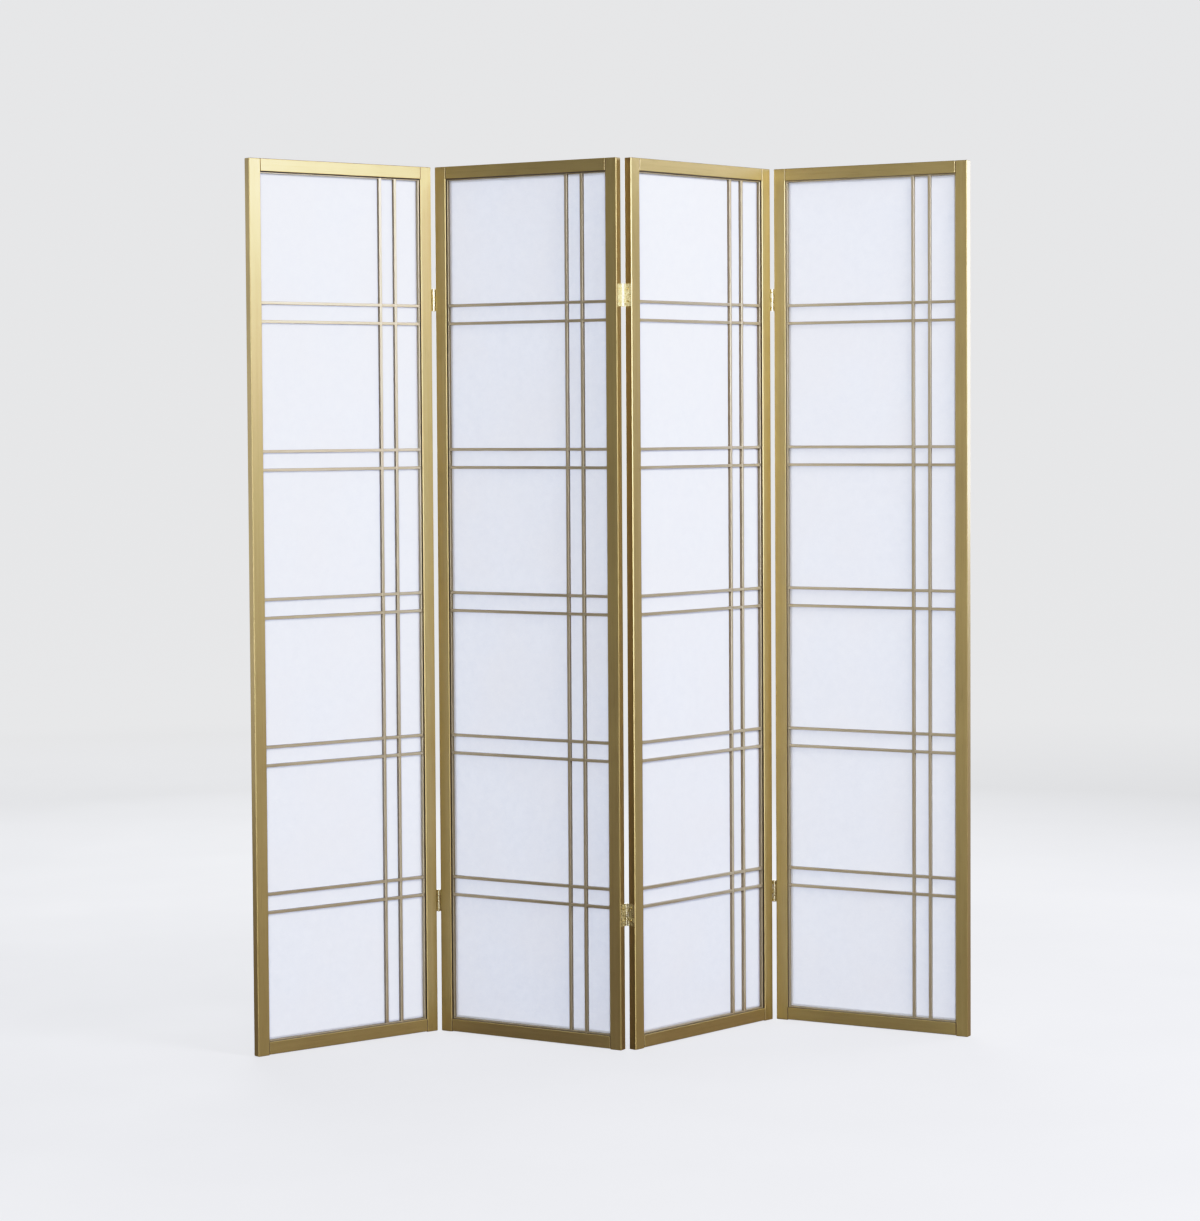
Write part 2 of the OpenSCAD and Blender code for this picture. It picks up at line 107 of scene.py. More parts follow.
# gold lacquer: pattern widths in millimetres; places in the opening, depths behind the front face, line
# widths and relief in metres
lacquer = {
    "frame": {
        "light": "B3A06E", "warm": "AA9764", "dull": "A59361", "pore": "7A673B",
        "innerShade": dict.fromkeys(plan, 0.96),
        "innerDepth": (0.0065, 0.0105),
        "lineShade": 0.9, "buttHalf": (0.0005, 0.0011), "underHalf": (0.0008, 0.0011),
    },
    "lattice": {
        "light": "C5B99F", "warm": "B2A484", "dull": "AFA181", "pore": "96875F",
        "innerShade": {"panel_1": 0.7, "panel_2": 0.55, "panel_3": 0.25, "panel_4": 0.42},
        "innerDepth": (0.02, 0.03),
        "lineShade": 0.97, "underHalf": (0.0018, 0.0020), "besideHalf": (0.0011, 0.0015),
        # strength of the painted shade lines beside the stiles, per panel
        "beside": {"panel_1": 0.85, "panel_2": 0.85, "panel_3": 0.6, "panel_4": 0.15},
    },
    # strength of the painted shadow line under the top rail, per panel
    "underShadow": {"panel_1": 1.0, "panel_2": 0.8, "panel_3": 0.8, "panel_4": 0.3},
    "upperHalf": (0, 0.01),  # from the opening's middle up
    "pastCorner": (0, 0.0004),
    # tones of the painted shade: on faces that look sideways, then deep in the opening and in the lines (also
    # the dark joints where rails butt against stiles)
    "sideShadeTone": "6E5A36",
    "shade": "2A1C09",
    # how strongly the sideways faces of each panel get the painted shade
    "sideShadeByPanel": {"panel_1": 0.0, "panel_2": 0.5, "panel_3": 0.6, "panel_4": 0.15},
    "squareness": (0.85, 0.98),  # how squarely a face looks sideways or up before it counts as an edge
    "innerReach": (0.0006, 0.0008),  # the inner faces end this far past the opening's edge
    "borderSides": 0.3,  # share of the inner shade on the sides of border strips
    "borderReach": (-0.005, -0.0035),
    "grain": 1.1,  # pores are about 0.1 mm wide: drawn this coarse, or the render wouldn't show them
    "grainStretch": 50,
    "poreStrength": 0.35,
    "streak": 7.7,  # growth bands, softened by the lacquer
    "cloud": 143,  # passes of the spray gun
    "cloudStrength": 0.35,
    "flake": 0.19,  # real flakes are finer: drawn this coarse to show in close views
    "flakeStrength": 0.1,
    "metallic": (0.92, 0.2),  # plain lacquer, and the painted shade and dark lines
    "coat": (0.5, 0.0),
    "rough": (0.40, 0.46),
    "grainRough": 0.03,
    "streakRelief": 0.0002,
    "grainRelief": 0.00004,
}


def sprayedGoldLacquer(panelName, coatName, along):
    # satin metallic lacquer sprayed over close-grained wood: a broad soft sheen that pales toward the light,
    # open pores as short dark lines along the grain, dark lines where rails butt against stiles; painted
    # shade on sideways faces and deep in the opening, and painted shadow lines under the top rail and beside
    # the stiles
    coat = lacquer[coatName]
    material, tree = newMaterial(f"sprayedGoldLacquer_{panelName}_{coatName}_{along}")
    turn = (0, 0, -math.radians(plan[panelName]["turn"]))
    place = addNode(tree, "ShaderNodeMapping", {  # the panel's own u, depth and z, from the opening's middle
        "Vector": addNode(tree, "ShaderNodeTexCoord", out="Object"),
        "Location": standing(panelName).inverted().translation - openMiddle, "Rotation": turn,
    })
    u, depth, z = addNode(tree, "ShaderNodeSeparateXYZ", (place,), out=None)
    awayU = addNode(tree, "ShaderNodeMath", (u,), operation="ABSOLUTE")
    awayZ = addNode(tree, "ShaderNodeMath", (z,), operation="ABSOLUTE")
    pastU = addNode(tree, "ShaderNodeMath", (awayU, openHalfU), operation="SUBTRACT")
    pastZ = addNode(tree, "ShaderNodeMath", (awayZ, openHalfZ), operation="SUBTRACT")

    fibres = []
    for way in along:
        squeeze = [1 / lacquer["grainStretch"] if axis == way else 1 for axis in "xyz"]
        fibres.append(addNode(tree, "ShaderNodeMapping", {"Vector": place, "Scale": squeeze}))
    fibre = fibres[0]
    if along == "xz":  # mitred beads: the level ones run along x, the upright ones along z
        upright = addNode(tree, "ShaderNodeMath", (pastU, pastZ), operation="GREATER_THAN")
        fibre = addNode(tree, "ShaderNodeMix", {0: upright, 4: fibres[0], 5: fibres[1]}, out=1,
                        data_type="VECTOR")
    grain = addNode(tree, "ShaderNodeTexNoise", {
        "Vector": fibre, "Scale": perMetre(lacquer["grain"]),
        "Detail": 3, "Roughness": 0.6, "Distortion": 0.4,
    })
    streak = addNode(tree, "ShaderNodeTexNoise", {
        "Vector": fibre, "Scale": perMetre(lacquer["streak"]),
        "Detail": 3, "Roughness": 0.55, "Distortion": 0.3,
    })
    cloud = addNode(tree, "ShaderNodeTexNoise", {
        "Vector": place, "Scale": perMetre(lacquer["cloud"]), "Detail": 3})
    flake = addNode(tree, "ShaderNodeTexVoronoi", {
        "Vector": place, "Scale": perMetre(lacquer["flake"])}, out="Color")

    facing = addNode(tree, "ShaderNodeVectorTransform", (
        addNode(tree, "ShaderNodeNewGeometry", out="True Normal"),
    ), vector_type="NORMAL", convert_from="WORLD", convert_to="OBJECT")
    facing = addNode(tree, "ShaderNodeMapping", {"Vector": facing, "Rotation": turn})
    sideways, _, upward = addNode(tree, "ShaderNodeSeparateXYZ", (facing,), out=None)
    edge, level = (
        addNode(tree, "ShaderNodeMapRange", (
            addNode(tree, "ShaderNodeMath", (lean,), operation="ABSOLUTE"), *lacquer["squareness"], 0, 1,
        )) for lean in (sideways, upward)
    )
    # painted shade on faces that look sideways, as strong as set for each panel
    sideShade = addNode(tree, "ShaderNodeMath", (edge, lacquer["sideShadeByPanel"][panelName]), operation="MULTIPLY")
    # painted shade on the inner faces of the opening and on the sides and undersides of the lattice strips
    inner = addNode(tree, "ShaderNodeMath", (edge, level), operation="MAXIMUM")
    for mask in (
        addNode(tree, "ShaderNodeMapRange", (pastU, *lacquer["innerReach"], 1, 0)),
        addNode(tree, "ShaderNodeMapRange", (pastZ, *lacquer["innerReach"], 1, 0)),
        addNode(tree, "ShaderNodeMapRange", (depth, *coat["innerDepth"], 1, 0)),
        coat["innerShade"][panelName],
    ):
        inner = addNode(tree, "ShaderNodeMath", (inner, mask), operation="MULTIPLY")

    if coatName == "lattice":  # border strips get less of the painted shade on their sides
        border = addNode(tree, "ShaderNodeMapRange", (
            pastU, *lacquer["borderReach"], 1, lacquer["borderSides"]))
        inner = addNode(tree, "ShaderNodeMath", (inner, border), operation="MULTIPLY")

    lines = []
    if coatName == "frame":  # where rails butt against stiles, beyond the opening's corners
        beyond = addNode(tree, "ShaderNodeMapRange", (pastZ, *lacquer["pastCorner"], 0, 1))
        lines.append((pastU, coat["buttHalf"], beyond))
    if coatName == "lattice" or along == "x":  # a painted shadow line under the top rail, on the rail's lower edge and the lattice strip below it
        upper = addNode(tree, "ShaderNodeMapRange", (
            z, *lacquer["upperHalf"], 0, lacquer["underShadow"][panelName]))
        lines.append((pastZ, coat["underHalf"], upper))
    if coatName == "lattice":  # fainter painted shade lines beside the stiles
        lines.append((pastU, coat["besideHalf"], coat["beside"][panelName]))
    line = 0.0
    for past, half, strength in lines:
        offset = addNode(tree, "ShaderNodeMath", (past,), operation="ABSOLUTE")
        near = addNode(tree, "ShaderNodeMapRange", (offset, *half, coat["lineShade"], 0))
        near = addNode(tree, "ShaderNodeMath", (near, strength), operation="MULTIPLY")
        line = addNode(tree, "ShaderNodeMath", (near, line), operation="MAXIMUM")

    bands = addNode(tree, "ShaderNodeMapRange", (streak, 0.3, 0.7, 0, 1))
    clouds = addNode(tree, "ShaderNodeMapRange", (cloud, 0.35, 0.75, 0, lacquer["cloudStrength"]))
    pores = addNode(tree, "ShaderNodeMapRange", (grain, 0.3, 0.42, lacquer["poreStrength"], 0))
    tone = hexColour(coat["light"])
    for mask, colour, blend in (
        (bands, hexColour(coat["warm"]), "MIX"),
        (clouds, hexColour(coat["dull"]), "MIX"),
        (pores, hexColour(coat["pore"]), "MIX"),
        (lacquer["flakeStrength"], flake, "SOFT_LIGHT"),
        # painted shade on sideways faces, then on the inner faces, then the painted shadow lines and the dark
        # butt joints
        (sideShade, hexColour(lacquer["sideShadeTone"]), "MIX"),
        (inner, hexColour(lacquer["shade"]), "MIX"),
        (line, hexColour(lacquer["shade"]), "MIX"),
    ):
        tone = addNode(tree, "ShaderNodeMix", {0: mask, 6: tone, 7: colour}, out=2,
                       data_type="RGBA", blend_type=blend)
    # painted shade, painted shadow lines and dark butt joints lose metal and coat, so that they stay dark
    shadeAndJoints = addNode(tree, "ShaderNodeMath", (inner, line), operation="MAXIMUM")
    metallic = addNode(tree, "ShaderNodeMapRange", (shadeAndJoints, 0, 1, *lacquer["metallic"]))
    sheen = addNode(tree, "ShaderNodeMapRange", (shadeAndJoints, 0, 1, *lacquer["coat"]))
    uneven = lacquer["grainRough"]
    rough = addNode(tree, "ShaderNodeMath", (
        addNode(tree, "ShaderNodeMapRange", (cloud, 0.3, 0.7, *lacquer["rough"])),
        addNode(tree, "ShaderNodeMapRange", (grain, 0.3, 0.7, -uneven, uneven)),
    ), operation="ADD")
    relief = addNode(tree, "ShaderNodeBump", {
        "Height": streak, "Strength": 0.25, "Distance": lacquer["streakRelief"]})
    relief = addNode(tree, "ShaderNodeBump", {
        "Height": grain, "Strength": 0.35, "Distance": lacquer["grainRelief"], "Normal": relief})
    surface = addNode(tree, "ShaderNodeBsdfPrincipled", {
        "Base Color": tone, "Metallic": metallic, "Roughness": rough, "Normal": relief,
        "Coat Weight": sheen, "Coat Roughness": 0.3,
    })
    addNode(tree, "ShaderNodeOutputMaterial", (surface,), out=None)
    return material


# hinge leaves and pins: pattern widths in millimetres, relief in metres
brass = {
    "bright": "CEC6AB",
    "dark": "8F8252",
    "tarnish": "6A5B34",
    "rollingLine": 0.38,  # real ones are finer still: drawn this coarse to break up the gloss
    "lineSqueeze": 0.04,
    "rub": 6.2,
    "spot": 3,
    "spotStrength": 0.45,
    "dimple": 1.8,
    "dimpleStrength": 0.6,
    "rough": (0.2, 0.36),
    "lineRough": 0.07,
    "lineRelief": 0.00003,
    "dimpleRelief": 0.0003,
}


def stampedBrass():
    # brass plate, rolled, stamped and tumbled: lively uneven reflections, dull spots, faint upright lines
    material, tree = newMaterial("stampedBrass")
    place = addNode(tree, "ShaderNodeTexCoord", out="Object")
    rolled = addNode(tree, "ShaderNodeMapping", {
        "Vector": place, "Scale": (1, 1, brass["lineSqueeze"])})
    lines = addNode(tree, "ShaderNodeTexNoise", {
        "Vector": rolled, "Scale": perMetre(brass["rollingLine"]), "Detail": 4, "Roughness": 0.65})
    rub = addNode(tree, "ShaderNodeTexNoise", {
        "Vector": place, "Scale": perMetre(brass["rub"]),
        "Detail": 4, "Roughness": 0.6, "Distortion": 0.8,
    })
    spot = addNode(tree, "ShaderNodeTexNoise", {
        "Vector": place, "Scale": perMetre(brass["spot"]), "Detail": 2, "Distortion": 0.4})
    dimple = addNode(tree, "ShaderNodeTexNoise", {
        "Vector": place, "Scale": perMetre(brass["dimple"]), "Detail": 2})
    hollows = addNode(tree, "ShaderNodeMapRange", (dimple, 0.42, 0.62, 0, brass["dimpleStrength"]))
    spots = addNode(tree, "ShaderNodeMapRange", (spot, 0.58, 0.72, 0, brass["spotStrength"]))
    tone = hexColour(brass["bright"])
    for mask, colour in ((hollows, hexColour(brass["dark"])), (spots, hexColour(brass["tarnish"]))):
        tone = addNode(tree, "ShaderNodeMix", {0: mask, 6: tone, 7: colour}, out=2, data_type="RGBA")
    rough = addNode(tree, "ShaderNodeMath", (
        addNode(tree, "ShaderNodeMapRange", (rub, 0.35, 0.75, *brass["rough"])),
        addNode(tree, "ShaderNodeMapRange", (lines, 0.3, 0.7, 0, brass["lineRough"])),
    ), operation="ADD")
    relief = addNode(tree, "ShaderNodeBump", {
        "Height": dimple, "Strength": 0.6, "Distance": brass["dimpleRelief"]})
    relief = addNode(tree, "ShaderNodeBump", {
        "Height": lines, "Strength": 0.3, "Distance": brass["lineRelief"], "Normal": relief})
    surface = addNode(tree, "ShaderNodeBsdfPrincipled", {
        "Base Color": tone, "Metallic": 1.0, "Roughness": rough, "Normal": relief})
    addNode(tree, "ShaderNodeOutputMaterial", (surface,), out=None)
    return material


# screws and bead pins: pattern widths in millimetres, relief in metres
plating = {
    "bright": "DCC68C",
    "rubbed": "A3895A",
    "pitted": "5E4A2C",
    "wear": 1.4,
    "pit": 0.31,
    "pitStrength": 0.4,
    "rough": (0.2, 0.42),
    "wearRelief": 0.00008,
    "pitRelief": 0.00003,
}


def brassPlatedSteel():
    # steel fixings, brass plated and driven home: duller than the leaves, with small dark pits
    material, tree = newMaterial("brassPlatedSteel")
    place = addNode(tree, "ShaderNodeTexCoord", out="Object")
    wear = addNode(tree, "ShaderNodeTexNoise", {
        "Vector": place, "Scale": perMetre(plating["wear"]),
        "Detail": 4, "Roughness": 0.6, "Distortion": 0.5,
    })
    pit = addNode(tree, "ShaderNodeTexNoise", {
        "Vector": place, "Scale": perMetre(plating["pit"]), "Detail": 2})
    worn = addNode(tree, "ShaderNodeMapRange", (wear, 0.4, 0.7, 0, 1))
    pits = addNode(tree, "ShaderNodeMapRange", (pit, 0.6, 0.8, 0, plating["pitStrength"]))
    tone = hexColour(plating["bright"])
    for mask, colour in ((worn, hexColour(plating["rubbed"])), (pits, hexColour(plating["pitted"]))):
        tone = addNode(tree, "ShaderNodeMix", {0: mask, 6: tone, 7: colour}, out=2, data_type="RGBA")
    relief = addNode(tree, "ShaderNodeBump", {
        "Height": wear, "Strength": 0.3, "Distance": plating["wearRelief"]})
    relief = addNode(tree, "ShaderNodeBump", {
        "Height": pit, "Strength": 0.3, "Distance": plating["pitRelief"], "Normal": relief})
    surface = addNode(tree, "ShaderNodeBsdfPrincipled", {
        "Base Color": tone, "Metallic": 1.0, "Normal": relief,
        "Roughness": addNode(tree, "ShaderNodeMapRange", (wear, 0.3, 0.7, *plating["rough"])),
    })
    addNode(tree, "ShaderNodeOutputMaterial", (surface,), out=None)
    return material


# corner dowels: pattern width in millimetres, relief in metres
beech = {
    "pale": "D9BD93",
    "ray": "B8935F",
    "rayWidth": 2.4,  # rays are about 0.5 mm wide: drawn coarser, to show on so small a peg
    "raySqueeze": 6,
    "rough": (0.62, 0.8),
    "relief": 0.0001,
}


def turnedBeech():
    # bare turned beech: pale, dry and matt, with fine darker rays
    material, tree = newMaterial("turnedBeech")
    place = addNode(tree, "ShaderNodeMapping", {
        "Vector": addNode(tree, "ShaderNodeTexCoord", out="Object"), "Scale": (1, 1, beech["raySqueeze"])})
    rays = addNode(tree, "ShaderNodeTexNoise", {
        "Vector": place, "Scale": perMetre(beech["rayWidth"]),
        "Detail": 4, "Roughness": 0.6, "Distortion": 0.6,
    })
    mask = addNode(tree, "ShaderNodeMapRange", (rays, 0.3, 0.7, 0, 1))
    tone = addNode(tree, "ShaderNodeMix", {
        0: mask, 6: hexColour(beech["pale"]), 7: hexColour(beech["ray"])}, out=2, data_type="RGBA")
    surface = addNode(tree, "ShaderNodeBsdfPrincipled", {
        "Base Color": tone,
        "Roughness": addNode(tree, "ShaderNodeMapRange", (rays, 0.3, 0.7, *beech["rough"])),
        "Normal": addNode(tree, "ShaderNodeBump", {
            "Height": rays, "Strength": 0.4, "Distance": beech["relief"]}),
    })
    addNode(tree, "ShaderNodeOutputMaterial", (surface,), out=None)
    return material


# paper: pattern widths in millimetres, relief and the fibres' wandering in metres
pulp = {
    "white": "E9ECF5",
    "thick": "E3E6EF",
    "warm": "E8E8EC",
    "fibre": "F3F4F7",
    "fibreLoops": ((11.8, 0.03), (5.9, 0.045)),  # size of the loops, thickness as a share of it
    "fibreStrength": 0.4,
    "finerLoops": 0.6,
    "wander": 22,
    "wanderBy": 0.03,
    "clot": 17,
    "cloud": 167,
    "cloudStrength": 0.5,
    "felt": 0.67,  # single fibres are 0.02 mm thick: drawn as small tufts, so that they show at all
    "rough": (0.8, 0.95),
    "relief": 0.00005,
    "lightThrough": 0.42,
}


def feltPressedPaper():
    # thin fibrous sheet pressed on felt: matt and white, cloudy where the pulp lies thicker, long pale
    # fibres in it, and enough light comes through to show the lattice as a shadow from behind
    material, tree = newMaterial("feltPressedPaper")
    place = addNode(tree, "ShaderNodeTexCoord", out="Object")
    drift = addNode(tree, "ShaderNodeTexNoise", {
        "Vector": place, "Scale": perMetre(pulp["wander"]), "Detail": 2}, out="Color")
    drift = addNode(tree, "ShaderNodeVectorMath", {0: drift, "Scale": pulp["wanderBy"]}, operation="SCALE")
    wandering = addNode(tree, "ShaderNodeVectorMath", (place, drift), operation="ADD")
    strands = []
    for size, thickness in pulp["fibreLoops"]:
        border = addNode(tree, "ShaderNodeTexVoronoi", {
            "Vector": wandering, "Scale": perMetre(size)}, out="Distance", feature="DISTANCE_TO_EDGE")
        strands.append(addNode(tree, "ShaderNodeMapRange", (border, 0, thickness, 1, 0)))
    fainter = addNode(tree, "ShaderNodeMath", (strands[1], pulp["finerLoops"]), operation="MULTIPLY")
    fibre = addNode(tree, "ShaderNodeMath", (strands[0], fainter), operation="MAXIMUM")
    clot = addNode(tree, "ShaderNodeTexNoise", {
        "Vector": place, "Scale": perMetre(pulp["clot"]), "Detail": 4, "Roughness": 0.6})
    cloud = addNode(tree, "ShaderNodeTexNoise", {
        "Vector": place, "Scale": perMetre(pulp["cloud"]), "Detail": 2})
    felt = addNode(tree, "ShaderNodeTexNoise", {
        "Vector": place, "Scale": perMetre(pulp["felt"]), "Detail": 3, "Roughness": 0.6})
    fibreMask = addNode(tree, "ShaderNodeMath", (fibre, pulp["fibreStrength"]), operation="MULTIPLY")
    clots = addNode(tree, "ShaderNodeMapRange", (clot, 0.3, 0.7, 0, 1))
    clouds = addNode(tree, "ShaderNodeMapRange", (cloud, 0.35, 0.7, 0, pulp["cloudStrength"]))
    tone = hexColour(pulp["white"])
    for mask, colour in (
        (clots, hexColour(pulp["thick"])),
        (clouds, hexColour(pulp["warm"])),
        (fibreMask, hexColour(pulp["fibre"])),
    ):
        tone = addNode(tree, "ShaderNodeMix", {0: mask, 6: tone, 7: colour}, out=2, data_type="RGBA")
    height = addNode(tree, "ShaderNodeMath", (fibre, felt), operation="ADD")
    relief = addNode(tree, "ShaderNodeBump", {
        "Height": height, "Strength": 0.35, "Distance": pulp["relief"]})
    front = addNode(tree, "ShaderNodeBsdfPrincipled", {
        "Base Color": tone, "Specular IOR Level": 0.25, "Normal": relief,
        "Roughness": addNode(tree, "ShaderNodeMapRange", (felt, 0.3, 0.7, *pulp["rough"])),
    })
    through = addNode(tree, "ShaderNodeBsdfTranslucent", {"Color": tone, "Normal": relief})
    sheet = addNode(tree, "ShaderNodeMixShader", (pulp["lightThrough"], front, through))
    addNode(tree, "ShaderNodeOutputMaterial", (sheet,), out=None)
    return material


brassFinish = stampedBrass()
platedFinish = brassPlatedSteel()
beechFinish = turnedBeech()
paperFinish = feltPressedPaper()


def finishNode(name, material):
    for slot in nodes[name].material_slots:
        slot.link = "OBJECT"
        slot.material = material


# pieces of a panel, the coat they get and the way their grain runs
coats = {
    ("left_stile", "right_stile"): ("frame", "z"),
    ("top_rail", "bottom_rail"): ("frame", "x"),
    ("back_beads",): ("frame", "xz"),
    ("lattice_uprights",): ("lattice", "z"),
    ("lattice_crossbars",): ("lattice", "x"),
}
for panelName in plan:
    for pieces, (coatName, along) in coats.items():
        gold = sprayedGoldLacquer(panelName, coatName, along)
        for piece in pieces:
            finishNode(f"{panelName}_{piece}", gold)
    finishNode(f"{panelName}_corner_dowels", beechFinish)
for name in nodes:
    if "_hinge_" in name and name.endswith(("_leaf", "_pin")):
        finishNode(name, brassFinish)
print("stage: frame, lattice and hinges finished")


# the paper sheets: grid step, how far they stand back in mid cell and over what reach, in metres
paper = {
    "step": 0.0085,
    "belly": 0.0009,
    "ripple": 0.0004,
    "reach": 0.05,
    "waves": ((71, 143, 1.0), (33, 45, 0.5)),  # width and height in millimetres, strength
    "waveStep": 9,
    "seedStep": 3.7,
}


def eased(value):
    value = min(max(value, 0), 1)
    return value * value * (3 - 2 * value)


def slackAt(u, z, seed):
    # how far the sheet stands back from the lattice: nothing on a strip or a bead, most in mid cell
    half, edge = panel["stripHalf"], panel["beadWidth"]
    away = min(u - openLeft - edge, openRight - edge - u, *(abs(u - at) - half for at in panel["uprightU"]))
    bars = [
        openMiddle.z + (k - (panel["pairCount"] - 1) / 2) * panel["pairPitch"] + side * panel["barGap"] / 2
        for k in range(panel["pairCount"]) for side in (-1, 1)
    ]
    level = min(z - openBottom - edge, openTop - edge - z, *(abs(z - at) - half for at in bars))
    free = eased(away / paper["reach"]) * eased(level / paper["reach"])
    wave = sum(
        strength * noise.noise(Vector((
            u * perMetre(wide), z * perMetre(tall), seed + paper["waveStep"] * k)))
        for k, (wide, tall, strength) in enumerate(paper["waves"])
    )
    return free * (paper["belly"] + paper["ripple"] * wave)


def paperSheet(name, seed):
    play = panel["paperPlay"]
    lowU, highU = openLeft + play, openRight - play
    lowZ, highZ = openBottom + play, openTop - play
    across = round((highU - lowU) / paper["step"])
    up = round((highZ - lowZ) / paper["step"])
    place = standing(name)
    points, faces = [], []
    for layer in (0, panel["paperThick"]):
        for j in range(up + 1):
            for i in range(across + 1):
                u = lowU + (highU - lowU) * i / across
                z = lowZ + (highZ - lowZ) * j / up
                back = panel["paperFront"] + layer + slackAt(u, z, seed)
                points.append(place @ Vector((u, back, z)))
    row = across + 1
    count = row * (up + 1)  # points of one layer
    for j in range(up):
        for i in range(across):
            a = j * row + i
            faces.append((a, a + 1, a + row + 1, a + row))
            faces.append((count + a, count + a + row, count + a + row + 1, count + a + 1))
    rim = list(range(across)) + [j * row + across for j in range(up)]
    rim += [up * row + across - i for i in range(across)] + [(up - j) * row for j in range(up)]
    for k, a in enumerate(rim):
        b = rim[(k + 1) % len(rim)]
        faces.append((b, a, count + a, count + b))
    mesh = bpy.data.meshes.new(f"{name}_paper_sheet")
    mesh.from_pydata(points, [], faces)
    mesh.polygons.foreach_set("use_smooth", [True] * len(mesh.polygons))
    mesh.materials.append(paperFinish)
    sheet = bpy.data.objects.new(f"{name}_paper_sheet", mesh)
    bpy.context.scene.collection.objects.link(sheet)
    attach(sheet, name)
    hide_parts(f"{name}_paper")


for k, name in enumerate(plan):
    paperSheet(name, paper["seedStep"] * k + 1)
print("stage: paper made")


def rowTree():
    # stands one shape at even steps from start to end, each turned by chance about its own axis
    tree = bpy.data.node_groups.new("rowOfFixings", "GeometryNodeTree")
    kinds = {
        "start": "NodeSocketVector", "end": "NodeSocketVector", "count": "NodeSocketInt",
        "turn": "NodeSocketVector", "spin": "NodeSocketFloat", "seed": "NodeSocketInt",
        "shape": "NodeSocketObject", "finish": "NodeSocketMaterial",
    }
    keys = {
        name: tree.interface.new_socket(name, in_out="INPUT", socket_type=kind).identifier
        for name, kind in kinds.items()
    }
    tree.interface.new_socket("Geometry", in_out="OUTPUT", socket_type="NodeSocketGeometry")
    given = addNode(tree, "NodeGroupInput", out=None)
    line = addNode(tree, "GeometryNodeMeshLine", {
        "Count": given["count"], "Start Location": given["start"], "Offset": given["end"],
    }, mode="END_POINTS")
    shape = addNode(tree, "GeometryNodeObjectInfo", {"Object": given["shape"]}, out="Geometry")
    stood = addNode(tree, "GeometryNodeInstanceOnPoints", {
        "Points": line, "Instance": shape, "Rotation": given["turn"]})
    chance = addNode(tree, "FunctionNodeRandomValue", {
        2: 0.0, 3: given["spin"], "Seed": given["seed"]}, out=1, data_type="FLOAT")
    spun = addNode(tree, "GeometryNodeRotateInstances", {
        "Instances": stood, "Local Space": True,
        "Rotation": addNode(tree, "ShaderNodeCombineXYZ", {"Z": chance}),
    })
    real = addNode(tree, "GeometryNodeRealizeInstances", (spun,))
    done = addNode(tree, "GeometryNodeSetMaterial", {"Geometry": real, "Material": given["finish"]})
    addNode(tree, "NodeGroupOutput", {"Geometry": done}, out=None)
    return tree, keys


rowGroup, rowKeys = rowTree()


def rowMesh(values):
    host = bpy.data.objects.new("rowHost", bpy.data.meshes.new("rowHost"))
    bpy.context.scene.collection.objects.link(host)
    modifier = host.modifiers.new("row", "NODES")
    modifier.node_group = rowGroup
    for name, value in values.items():
        modifier[rowKeys[name]] = value
    graph = bpy.context.evaluated_depsgraph_get()
    mesh = bpy.data.meshes.new_from_object(host.evaluated_get(graph), depsgraph=graph)
    bpy.data.objects.remove(host)
    return mesh


def rowsPiece(name, rows):
    # several rows of fixings joined in one plain mesh
    whole = bmesh.new()
    for values in rows:
        whole.from_mesh(rowMesh(values))
    mesh = bpy.data.meshes.new(name)
    whole.to_mesh(mesh)
    whole.free()
    mesh.materials.append(platedFinish)
    piece = bpy.data.objects.new(name, mesh)
    bpy.context.scene.collection.objects.link(piece)
    return piece


def shapeObject(name, shape):
    # a shape for the rows, outside the scene; edges sharper than 38 degrees stay crisp
    bmesh.ops.recalc_face_normals(shape, faces=shape.faces)
    for edge in shape.edges:
        edge.smooth = edge.calc_face_angle(0) < math.radians(38)
    for face in shape.faces:
        face.smooth = True
    mesh = bpy.data.meshes.new(name)
    shape.to_mesh(mesh)
    shape.free()
    return bpy.data.objects.new(name, mesh)


def ring(shape, radius, z, sides):
    turns = [2 * math.pi * k / sides for k in range(sides)]
    return [shape.verts.new((radius * math.cos(a), radius * math.sin(a), z)) for a in turns]


def skin(shape, lower, upper):
    for k in range(len(lower)):
        following = (k + 1) % len(lower)
        shape.faces.new((lower[k], lower[following], upper[following], upper[k]))


# hinge screws in metres: heights of the hinges, where the screws sit from a hinge's lower end, and their
# place in the panel's thickness, from the face that the hinge is on
screw = {
    "headRadius": 0.00245,
    "rimRound": 0.00015,
    "shankRadius": 0.00125,
    "pointRadius": 0.0002,
    "headTop": 0.0012,
    "length": 0.012,
    "tip": 0.002,
    "threadPitch": 0.0011,
    "threadRoot": 0.8,
    "threadFlank": 0.35,
    "tipStart": 0.9,
    "slotHalf": 0.00036,
    "slotReach": 0.0014,
    "slotDepth": 0.0007,
    "slotNarrowing": (0.62, 0.7),
    "sides": 20,
    "levels": (0.2495, 1.4895),
    "fromEnd": (0.010, 0.035),
    "depth": 0.00845,
    "seedStep": 11,
}


